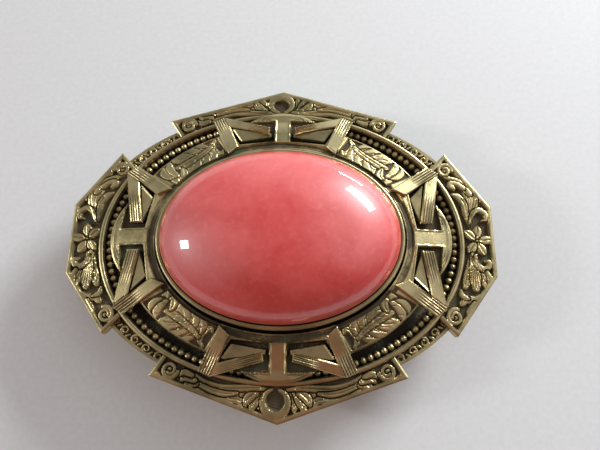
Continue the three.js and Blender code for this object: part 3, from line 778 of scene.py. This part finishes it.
def inner_frame_surface(points):
    """The sloping ring with its ledge, panels, lobes, windows and wedges."""
    away = np.linalg.norm(points, axis=1)
    near, far = oval_reach(RING_INSIDE, points), oval_reach(RING_OUTSIDE, points)
    out = (away - near) / (far - near)
    slope = RING_INNER_TOP - RING_FALL * np.minimum(out, 1.15)
    level = slope.copy()
    stain = np.full(len(points), 0.22)

    # The ledge next to the stone steps down, with fine lines run round it by the die.
    from_stone = away - near
    mirror = np.abs(points)
    angle = np.degrees(np.arctan2(mirror[:, 1] / PANEL_OVAL[1], mirror[:, 0] / PANEL_OVAL[0]))
    first, last = PANEL_ENDS
    sector = ease(angle, first - 0.4, first + 0.4) * (1 - ease(angle, last - 0.4, last + 0.4))
    ledge = LEDGE + (PANEL_LEDGE - LEDGE) * sector
    level -= 0.22 * (1 - ease(from_stone, ledge - 0.14, ledge))
    for line in LEDGE_LINES:
        groove = np.exp(-((from_stone - line * ledge / LEDGE) / 0.1) ** 2)
        level -= 0.08 * groove
        stain += 0.4 * groove
    stain += 0.36 * (1 - ease(from_stone, ledge - 0.2, ledge + 0.1))

    # The leaf panels, sunk between a narrow border outside and the ledge inside.
    depth = sector * ease(from_stone, ledge + 0.02, ledge + 0.16) * (1 - ease(far - away, 0.42, 0.28))
    leaves = relief(mirror, panel, PANEL_OUTLINE)
    hatch = (0.5 + 0.5 * np.cos(math.tau * from_stone / HATCH)) * (leaves < 0.04)
    level += depth * (leaves - PANEL_DEPTH - HATCH_DEPTH * hatch)
    stain += depth * (0.6 + 0.4 * hatch - 6.5 * leaves)

    # Lobes: a rounded edge with three engraved lines inside it, faint in the middle.
    for centre, radius, axis in LOBES:
        beside = mirror[:, 1 - axis]
        from_edge = radius - np.hypot(mirror[:, axis] - centre, beside)
        ahead = (mirror[:, axis] > centre) * ease(beside, 0.9, 2.6)
        beyond = (mirror[:, axis] > centre) * ease(away - far, -0.3, 0.1)
        level -= 0.26 * (1 - ease(from_edge, 0.0, 0.45)) * beyond
        for line in LOBE_LINES:
            groove = np.exp(-((from_edge - line) / 0.06) ** 2) * ahead
            level -= 0.09 * groove
            stain += 0.6 * groove

    # Windows with a raised line round them, dark walls, and a wedge standing in each.
    for window, wedge, ridge in ((SIDE_WINDOW, SIDE_WEDGE, 0), (TALL_WINDOW, TALL_WEDGE, 1)):
        inside = edge_distance(mirror, np.array(window))
        raised = ease(inside, -0.30, -0.22) * (1 - ease(inside, -0.08, 0.0))
        level += 0.1 * raised
        stain -= 0.3 * raised
        sunk = ease(inside, -0.03, 0.1)
        level += (WINDOW_FLOOR - level) * sunk
        stain += 0.9 * sunk
        within = edge_distance(mirror, np.array(wedge))
        stands = ease(within, -0.08, 0.05)
        # Its top tilts, and the side next to the ribbon has a sharp bright ridge.
        far_side = np.array(wedge[1 if ridge else 0]), np.array(wedge[2])
        run = (far_side[1] - far_side[0]) / np.linalg.norm(far_side[1] - far_side[0])
        from_side = np.abs((mirror - far_side[0]) @ np.array((-run[1], run[0])))
        top = WEDGE_TOP + 0.10 * (1 - ease(from_side, 0.12, 0.26)) - 0.02 * from_side
        level += (top - level) * stands * sunk
        stain -= 1.25 * stands * sunk

    # The ring's outer edge is rounded where it borders a panel.
    past_edge = away - far
    rounded = ease(past_edge, -0.16, 0.0) * (np.abs(past_edge) < 0.16) * (past_edge < 0.02)
    level -= 0.14 * rounded * sector
    return level, np.clip(stain, 0, 1)


bm = bmesh.new()
relief_sheet(
    bm, oval_line(RING_INSIDE, 0, math.tau), ring_edge, (1240, 56),
    inner_frame_surface, RING_UNDERSIDE, ring=True)
finish_piece("inner_frame_stamping", bm, antiqued_brass, nodes=["inner_frame"])

# The skirt turned down from its underside stands on the back plate and carries it.
SKIRT_INSIDE = (17.2, 13.2)
SKIRT_OUTSIDE = (18.0, 14.0)
bm = bmesh.new()
oval_ring(bm, [
    (*SKIRT_INSIDE, SEAT, 1.0), (*SKIRT_INSIDE, RING_UNDERSIDE + 0.05, 1.0),
    (*SKIRT_OUTSIDE, RING_UNDERSIDE + 0.05, 1.0), (*SKIRT_OUTSIDE, SEAT, 1.0),
])
finish_piece("inner_frame_skirt", bm, antiqued_brass)

# ==================================================================================================
# Ribbons. Eight flat brass strips, each folded to a V and soldered on the inner frame so that its
# point hangs over the rail. One arm is fluted by the fold and the other at its free end.
# ==================================================================================================
SIDE_RIBBON = {
    "outer": [(19.75, 1.8), (21.15, 9.15), (19.7, 10.0), (14.4, 6.3)],
    "inner": [(18.1, 1.8), (19.13, 7.5), (19.17, 7.6), (16.35, 5.55)],
}
TALL_RIBBON = {
    "outer": [(1.75, 15.6), (8.3, 17.4), (9.8, 16.75), (7.2, 11.35)],
    "inner": [(1.8, 14.4), (7.23, 15.75), (7.27, 15.77), (5.95, 12.5)],
}
RIBBON_THICKNESS = 0.5
RIBBON_START_TOP = RING_INNER_TOP + 0.03 + RIBBON_THICKNESS
RIBBON_TIP_TOP = WING_TOP + 1.15
TIP_REACH = 1.14                         # how far out the points lie, as a share of the ring's edge
FLUTES = 5
FLUTE_DEPTH = 0.12


def ribbon_surface(outer, inner, turn):
    """The top of one ribbon: its slope, rounded edges and the flutes on each arm."""
    outline = np.array(outer + inner[::-1]) * turn

    def surface(points):
        reach = np.hypot(points[:, 0] / RING_OUTSIDE[0], points[:, 1] / RING_OUTSIDE[1])
        start = RING_INSIDE[0] / RING_OUTSIDE[0]
        level = RIBBON_START_TOP + (RIBBON_TIP_TOP - RIBBON_START_TOP) * (reach - start) / (TIP_REACH - start)
        inside = edge_distance(points, outline)
        stain = np.full(len(points), 0.24)
        arms = ((outer[0], outer[1], inner[0], False), (outer[3], outer[2], inner[3], True))
        for *corners, by_fold in arms:
            free, fold, other = (np.array(corner) * turn for corner in corners)
            length = np.linalg.norm(fold - free)
            run = (fold - free) / length
            across = np.array((-run[1], run[0]))
            width = (other - free) @ across
            along, side = (points - free) @ run / length, (points - free) @ across / width
            on_arm = (side > 0) & (side < 1.02)
            fade = ease(along, 0.40, 0.80) if by_fold else 1 - ease(along, 0.22, 0.62)
            wave = 0.5 - 0.5 * np.cos(side * math.tau * FLUTES)
            level -= FLUTE_DEPTH * (1 - wave) * fade * on_arm
            stain += 1.1 * (1 - wave) ** 2 * fade * on_arm
        level -= 0.14 * (1 - ease(inside, 0.0, 0.15))
        stain -= 0.5 * (1 - ease(inside, 0.1, 0.2))
        return level, np.clip(stain, 0, 1)
    return surface


for lie, shape in (("side", SIDE_RIBBON), ("tall", TALL_RIBBON)):
    for sx, sy in QUARTERS:
        turn = np.array((sx, sy))
        inner, outer = straight_line(shape["inner"]), straight_line(shape["outer"])
        bm = bmesh.new()
        relief_sheet(
            bm, lambda u: inner(u) * turn, lambda u: outer(u) * turn, (150, 24),
            ribbon_surface(shape["outer"], shape["inner"], turn), lambda co: RIBBON_THICKNESS - 0.1)
        name = f"{lie}_ribbon_{'upper' if sy > 0 else 'lower'}_{'right' if sx > 0 else 'left'}"
        finish_piece(name + "_strip", bm, polished_brass, nodes=[name])

# ==================================================================================================
# Setting cup. A shallow brass cup with a plain bezel; its rim stands close round the stone, was
# burnished round and shines as a thin bright line.
# ==================================================================================================
CUP_INSIDE = (15.45, 11.4)
CUP_OUTSIDE = (16.0, 11.95)
CUP_FLOOR = WING_TOP + 0.6
CUP_FLOOR_TOP = CUP_FLOOR + 0.4          # the stone stands on this
BEZEL_RIM = WING_TOP + 2.7
# The rolled rim, from outside to inside: how far in from the cup's outside or out from its inside
# each place lies, how far under the rim, and its patina.
ROLLED_OUTSIDE = ((0.04, 0.14, 0.0), (0.14, 0.03, 0.0), (0.28, 0.0, 0.0))
ROLLED_INSIDE = ((0.06, 0.05, 0.1), (-0.02, 0.16, 0.6))
bm = bmesh.new()
oval_ring(bm, [
    (0, 0, CUP_FLOOR, 0.8), (*CUP_INSIDE, CUP_FLOOR, 0.8),
    (*CUP_INSIDE, SEAT, 0.8), (*CUP_OUTSIDE, SEAT, 0.9),
    (*CUP_OUTSIDE, BEZEL_RIM - 0.62, 0.8), (*CUP_OUTSIDE, BEZEL_RIM - 0.3, 0.35),
    *[(CUP_OUTSIDE[0] - near, CUP_OUTSIDE[1] - near, BEZEL_RIM - under, dark)
      for near, under, dark in ROLLED_OUTSIDE],
    *[(CUP_INSIDE[0] + near, CUP_INSIDE[1] + near, BEZEL_RIM - under, dark)
      for near, under, dark in ROLLED_INSIDE],
    (*CUP_INSIDE, BEZEL_RIM - 0.4, 1.0), (*CUP_INSIDE, CUP_FLOOR_TOP, 1.0), (0, 0, CUP_FLOOR_TOP, 1.0),
], 260)
finish_piece("bezel_cup", bm, polished_brass, nodes=["setting_cup"])

# ==================================================================================================
# Stone. A high oval cabochon of pressed coral-coloured glass, glossy, a little cloudy and faintly
# worn, that stands on the floor of its cup.
# ==================================================================================================
STONE = (15.35, 11.3)
STONE_BASE = (14.9, 10.85)
GIRDLE = WING_TOP + 2.9
DOME_RISE = 5.7
FULLNESS = 0.82                          # under 1 the dome is fuller than half an ellipsoid
DOME_STEPS = 72
coral_glass, tree, shader = new_material("coral_glass")
where = add_node(tree, "ShaderNodeTexCoord").outputs["Object"]
cloud = add_node(tree, "ShaderNodeTexNoise", inputs={
    "Vector": where, "Scale": 190.0, "Detail": 4.0, "Roughness": 0.6, "Distortion": 0.6,
}).outputs[0]
body = blend(tree, spread(tree, cloud, 0.36, 0.62), "#d8423f", "#e55a58")
fleck = spread(tree, noise(tree, where, 1500.0, 4.0), 0.52, 0.78, 0.0, 0.22)
tree.links.new(blend(tree, fleck, body, "#eb918c"), shader.inputs["Base Color"])
# Years of wear haze the surface, under a skin that still has its fire polish.
for socket, value in (
    ("Roughness", 0.42), ("Specular IOR Level", 0.8), ("IOR", 1.52),
    ("Coat Weight", 1.0), ("Coat Roughness", 0.05), ("Coat IOR", 1.7),
    ("Subsurface Weight", 0.12), ("Subsurface Radius", (0.9, 0.25, 0.2)), ("Subsurface Scale", 0.001),
):
    shader.inputs[socket].default_value = value
add_bump(tree, shader, drawn_lines(tree, where, (900.0, 9000.0, 9000.0)), 0.05, 0.00003)

section = [(0, 0, CUP_FLOOR_TOP, 0), (*STONE_BASE, CUP_FLOOR_TOP, 0)]
for step in range(DOME_STEPS + 1):
    angle = math.pi / 2 * step / DOME_STEPS
    out = math.cos(angle) ** FULLNESS if step < DOME_STEPS else 0
    level = GIRDLE + DOME_RISE * math.sin(angle) ** (1 / FULLNESS)
    section.append((STONE[0] * out, STONE[1] * out, level, 0))
bm = bmesh.new()
oval_ring(bm, section, 256)
finish_piece("coral_cabochon", bm, coral_glass, nodes=["cabochon"], crease=50)

# ==================================================================================================
# Back plate. A flat piece of half-millimetre brass sheet sawn to the outline and soldered under the
# stampings, with two vent holes from the soldering. Its back is plain and only slightly tarnished.
# ==================================================================================================
# The patina colour of this brass is nearly black; on the back plate's front it is tarnish and painted shade.
plain_brass = brass_material(
    "plain_rolled_brass", "#c6b885", "#9f9468", "#2a2419", shine=0.34, hold=0.58, scratch=0.5)
BACK_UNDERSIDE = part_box("back_plate")[0].z / MM
EDGE_GAP = 0.35                          # the plate stops this far inside the stampings
VENTS = ((9.0, -4.0), (-9.0, -4.0))
VENT_RADIUS = 1.0


def circle(radius, x=0.0, y=0.0, steps=40):
    """Places round a circle."""
    return [(x + radius * math.cos(math.tau * i / steps), y + radius * math.sin(math.tau * i / steps))
            for i in range(steps)]


def cut_sheet(bm, outline, low, high, holes=(), place=Matrix.Identity(4), bevel=0.0, stain=(0.2, 0.2)):
    """A flat piece with holes between two heights; stain is the patina of its two faces."""
    patina = vertex_layer(bm, "patina")
    before = set(bm.verts)
    edges = []
    for loop in (outline, *holes):
        chain = [bm.verts.new((*point, low)) for point in loop]
        edges += [bm.edges.new(pair) for pair in zip(chain, chain[1:] + chain[:1])]
    filled = bmesh.ops.triangle_fill(bm, edges=edges, use_beauty=True)["geom"]
    faces = [item for item in filled if isinstance(item, bmesh.types.BMFace)]
    inside = in_order(edge for face in faces for edge in face.edges)
    bmesh.ops.dissolve_limit(bm, angle_limit=0.01, verts=[], edges=inside)
    faces = in_order(face for vert in bm.verts if vert not in before for face in vert.link_faces)
    raised = bmesh.ops.extrude_face_region(bm, geom=faces)["geom"]
    top = [item for item in raised if isinstance(item, bmesh.types.BMVert)]
    for vert in top:
        vert.co.z = high
        vert[patina] = stain[1]
    for vert in (v for v in bm.verts if v not in before and v not in top):
        vert[patina] = stain[0]
    if bevel:
        new = [edge for edge in bm.edges if edge.verts[0] not in before and len(edge.link_faces) == 2]
        corners = [edge for edge in new if edge.calc_face_angle() > math.radians(40)
                   and abs(edge.verts[0].co.z - edge.verts[1].co.z) < 1e-6]
        bmesh.ops.bevel(bm, geom=corners, offset=bevel, segments=2, profile=0.5, affect="EDGES", material=-1)
    bmesh.ops.transform(bm, matrix=place, verts=[v for v in bm.verts if v not in before])


def oval_crossing(start, end, oval):
    """Where a straight line leaves an oval."""
    reach = [math.hypot(place[0] / oval[0], place[1] / oval[1]) for place in (start, end)]
    share = (1 - reach[0]) / (reach[1] - reach[0])
    return [a + (b - a) * share for a, b in zip(start, end)]


half_edge = [(0.0, -PEAK[-1])]
for sy in (-1, 1):
    low_wing = [CORNER, oval_crossing(CORNER, FOOT, BORDER_OUTSIDE)]
    high_wing = [oval_crossing(SIDE_CORNER, SIDE_FOOT, BORDER_OUTSIDE), SIDE_CORNER, SHOULDER]
    ends = [on_oval(BORDER_OUTSIDE, place) for place in (low_wing[1], high_wing[0])]
    bend = oval_line(BORDER_OUTSIDE, *ends)
    quarter = low_wing + [tuple(bend(share)) for share in np.linspace(0, 1, 14)[1:-1]] + high_wing
    half_edge += [(x, y * sy) for x, y in (quarter if sy < 0 else quarter[::-1])]
half_edge.append((0.0, PEAK[1]))
plate_edge = half_edge + [(-x, y) for x, y in half_edge[-2:0:-1]]
drawn_in = []
for before, here, after in zip(plate_edge[-1:] + plate_edge, plate_edge, plate_edge[1:] + plate_edge[:1]):
    sides = [Vector(b) - Vector(a) for a, b in ((before, here), (here, after))]
    inward = [Vector((-side.y, side.x)).normalized() for side in sides]
    drawn_in.append(Vector(here) + (inward[0] + inward[1]) * EDGE_GAP / (1 + inward[0].dot(inward[1])))
bm = bmesh.new()
# The front face takes the full patina, so the floor of the channel between the frames is painted nearly
# black: tarnish and painted shade.
cut_sheet(bm, drawn_in, BACK_UNDERSIDE, SEAT, [circle(VENT_RADIUS, *vent)[::-1] for vent in VENTS],
          bevel=0.06, stain=(0.15, 1.0))
finish_piece("back_sheet", bm, plain_brass, nodes=["back_plate"], crease=30)

# ==================================================================================================
# Hinge. Two ears of brass sheet stand on a small foot that is soldered to the back plate, and a
# steel rivet runs through both with its ends hammered over.
# ==================================================================================================
rivet_low, rivet_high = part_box("hinge_rivet")
hinge_at = (rivet_low + rivet_high) / 2 / MM - Vector((middle.x, middle.y, 0)) / MM
PIN_LEVEL = hinge_at.z
FOOT_TOP = BACK_UNDERSIDE - 0.5          # the solder feet are half a millimetre thick
EAR_RADIUS = 1.2
EAR_THICKNESS = 0.7
EAR_SPACING = 1.5
RIVET_RADIUS = 0.5
solder, tree, shader = new_material("soft_solder")
where = add_node(tree, "ShaderNodeTexCoord").outputs["Object"]
# Grey tin-lead solder, dull, with a pebbled skin about 0.4 mm across.
pebble = noise(tree, where, 2200.0, 3.0)
tree.links.new(blend(tree, pebble, "#8d8c88", "#5f5e5b"), shader.inputs["Base Color"])
shader.inputs["Metallic"].default_value = 1.0
shader.inputs["Roughness"].default_value = 0.48
add_bump(tree, shader, pebble, 0.3, 0.00006)


def box_outline(length, width):
    """The four corners of a rectangle about the origin."""
    return [(x * length / 2, y * width / 2) for x, y in ((-1, -1), (1, -1), (1, 1), (-1, 1))]


def solder_pool(name, at, length, width):
    """The thin uneven pool of solder that has run out from under a fitting's foot."""
    bm = bmesh.new()
    rim = []
    for i in range(48):
        angle = math.tau * i / 48
        wave = 1 + 0.05 * math.sin(3 * angle + at.x) + 0.03 * math.sin(7 * angle)
        x, y = (math.copysign(abs(turn) ** 0.5, turn) for turn in (math.cos(angle), math.sin(angle)))
        rim.append((length / 2 * wave * x, width / 2 * wave * y))
    cut_sheet(bm, rim, -0.16, 0.02, bevel=0.07, place=Matrix.Translation((at.x, at.y, BACK_UNDERSIDE)))
    finish_piece(name, bm, solder, crease=60)


FOOT_LENGTH = 5.0
foot_width = EAR_SPACING + 2 * EAR_THICKNESS + 1.0
bm = bmesh.new()
to_hinge = Matrix.Translation(hinge_at)
cut_sheet(bm, box_outline(FOOT_LENGTH, foot_width), FOOT_TOP, BACK_UNDERSIDE, bevel=0.1,
          place=Matrix.Translation((hinge_at.x, hinge_at.y, 0)), stain=(0.25, 0.5))
rise = FOOT_TOP + 0.1 - PIN_LEVEL
ear = [(EAR_RADIUS * math.cos(math.pi + math.pi * i / 24), EAR_RADIUS * math.sin(math.pi + math.pi * i / 24))
       for i in range(25)]
ear += [(FOOT_LENGTH / 2 - 0.3, rise), (-FOOT_LENGTH / 2 + 0.3, rise)]
on_edge = Matrix.Rotation(math.pi / 2, 4, "X")
for side in (1, -1):
    offset = side * (EAR_SPACING + EAR_THICKNESS) / 2
    cut_sheet(bm, ear, -offset - EAR_THICKNESS / 2, -offset + EAR_THICKNESS / 2,
              [circle(RIVET_RADIUS + 0.03)[::-1]], bevel=0.07, place=to_hinge @ on_edge)
finish_piece("hinge_ears", bm, plain_brass, nodes=["hinge_base"], crease=30)
solder_pool("hinge_solder", hinge_at, FOOT_LENGTH + 0.9, foot_width + 0.9)

pin_steel, tree, shader = new_material("plated_pin_steel")
where = add_node(tree, "ShaderNodeTexCoord").outputs["Object"]
# Nickel-plated steel wire: bright, with faint drawing lines along it and a few dull spots.
dulled = spread(tree, noise(tree, where, 700.0, 4.0), 0.5, 0.75)
tree.links.new(blend(tree, dulled, "#c9cacb", "#8e8a80"), shader.inputs["Base Color"])
shader.inputs["Metallic"].default_value = 1.0
tree.links.new(spread(tree, dulled, 0.0, 1.0, 0.2, 0.45), shader.inputs["Roughness"])
add_bump(tree, shader, drawn_lines(tree, where, (300.0, 9000.0, 9000.0)), 0.15, 0.00004)


def turned_rod(bm, profile, place):
    """A rod turned round its own length from (radius, along) places."""
    before = set(bm.verts)
    chain = [bm.verts.new((radius, 0, along)) for radius, along in profile]
    edges = [bm.edges.new(pair) for pair in zip(chain, chain[1:])]
    bmesh.ops.spin(bm, geom=chain + edges, cent=(0, 0, 0), axis=(0, 0, 1), dvec=(0, 0, 0),
                   angle=math.tau, steps=40, use_merge=True)
    made = [vert for vert in bm.verts if vert not in before]
    bmesh.ops.remove_doubles(bm, verts=made, dist=1e-5)
    bmesh.ops.transform(bm, matrix=place, verts=[vert for vert in bm.verts if vert not in before])


HEAD_RADIUS = 0.8
HEAD_HEIGHT = 0.3
grip = EAR_SPACING / 2 + EAR_THICKNESS + 0.02
angles = [math.pi / 2 * i / 6 for i in range(7)]
head = [(HEAD_RADIUS * math.sin(angle), grip + HEAD_HEIGHT * math.cos(angle) ** 0.8) for angle in angles]
far_head = [(radius, -along) for radius, along in head]
bm = bmesh.new()
turned_rod(bm, far_head + [(RIVET_RADIUS, -grip), (RIVET_RADIUS, grip)] + head[::-1], to_hinge @ on_edge)
finish_piece("rivet", bm, pin_steel, nodes=["hinge_rivet"])

# ==================================================================================================
# Pin. A stiff plated steel wire with its end rolled to a flat eye that turns on the rivet, ground to
# a long point at the other end.
# ==================================================================================================
PIN_RADIUS = 0.45
PIN_REACH = 41.5
POINT_LENGTH = 5.0
EYE_RADIUS = 1.0
EYE_BORE = 0.6
EYE_WIDTH = 1.2
bm = bmesh.new()
profile = [(0, EYE_RADIUS - 0.2), (PIN_RADIUS, EYE_RADIUS - 0.2)]
for step in range(10):
    share = step / 10
    profile.append((PIN_RADIUS * (1 - share**1.6), PIN_REACH - POINT_LENGTH * (1 - share)))
profile.append((0, PIN_REACH))
turned_rod(bm, profile, to_hinge @ Matrix.Rotation(math.pi / 2, 4, "Y"))
cut_sheet(bm, circle(EYE_RADIUS), -EYE_WIDTH / 2, EYE_WIDTH / 2, [circle(EYE_BORE)[::-1]], bevel=0.12,
          place=to_hinge @ on_edge)
finish_piece("pin_wire", bm, pin_steel, body="pin", nodes=["pin_stem"], crease=30)

# ==================================================================================================
# Catch. A brass shell with an open mouth on a neck and foot, soldered to the back plate, and inside
# it a steel collar with two finger tabs that turns to close the mouth over the pin.
# ==================================================================================================
collar_low, collar_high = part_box("catch_collar")
catch_x = (collar_low.x + collar_high.x) / 2 / MM - middle.x / MM
catch_at = Vector((catch_x, hinge_at.y, PIN_LEVEL))
to_catch = Matrix.Translation(catch_at)
SHELL_INSIDE = 1.25
SHELL_OUTSIDE = 1.6
SHELL_WIDTH = 2.4
COLLAR_INSIDE = 0.72
COLLAR_OUTSIDE = 1.12
COLLAR_WIDTH = 3.8
MOUTH = math.radians(55)                 # half the angle that the mouth is open
CATCH_FOOT = (4.4, 3.4)
NECK_WIDTH = 1.0
# The sleeves are drawn looking along the pin, Y to the right and Z up.
along_pin = Matrix(((0, 0, 1, 0), (1, 0, 0, 0), (0, 1, 0, 0), (0, 0, 0, 1)))


def open_sleeve(inner, outer):
    """The end view of a sleeve with its mouth facing down."""
    start, end = -math.pi / 2 + MOUTH, 3 * math.pi / 2 - MOUTH
    angles = [start + (end - start) * i / 36 for i in range(37)]
    return ([(outer * math.cos(a), outer * math.sin(a)) for a in angles]
            + [(inner * math.cos(a), inner * math.sin(a)) for a in reversed(angles)])


bm = bmesh.new()
cut_sheet(bm, box_outline(*CATCH_FOOT), FOOT_TOP, BACK_UNDERSIDE, bevel=0.1,
          place=Matrix.Translation((catch_at.x, catch_at.y, 0)), stain=(0.25, 0.5))
neck_low = PIN_LEVEL + (SHELL_INSIDE + SHELL_OUTSIDE) / 2
cut_sheet(bm, box_outline(SHELL_WIDTH, NECK_WIDTH), neck_low, FOOT_TOP + 0.1,
          place=Matrix.Translation((catch_at.x, catch_at.y, 0)), stain=(0.4, 0.5))
cut_sheet(bm, open_sleeve(SHELL_INSIDE, SHELL_OUTSIDE), -SHELL_WIDTH / 2, SHELL_WIDTH / 2, bevel=0.08,
          place=to_catch @ along_pin)
finish_piece("catch_shell", bm, plain_brass, nodes=["catch_base"], crease=30)
solder_pool("catch_solder", catch_at, CATCH_FOOT[0] + 0.9, CATCH_FOOT[1] + 0.9)

TAB_LENGTH = 1.7
TAB_WIDTH = 0.6
TAB_THICKNESS = 0.55
TAB_RISE = math.radians(20)
bm = bmesh.new()
cut_sheet(bm, open_sleeve(COLLAR_INSIDE, COLLAR_OUTSIDE), -COLLAR_WIDTH / 2, COLLAR_WIDTH / 2, bevel=0.08,
          place=to_catch @ along_pin)
reach = (COLLAR_INSIDE + COLLAR_OUTSIDE) / 2
tab = [(reach, -TAB_THICKNESS / 2), (reach + TAB_LENGTH, -TAB_THICKNESS / 2),
       (reach + TAB_LENGTH, TAB_THICKNESS / 2), (reach, TAB_THICKNESS / 2)]
for side in (1, -1):
    centre = side * (COLLAR_WIDTH - TAB_WIDTH) / 2
    cut_sheet(bm, tab, centre - TAB_WIDTH / 2, centre + TAB_WIDTH / 2, bevel=0.08,
              place=to_catch @ along_pin @ Matrix.Rotation(TAB_RISE, 4, "Z"))
finish_piece("collar_sleeve", bm, pin_steel, body="collar", nodes=["catch_collar"], crease=30)
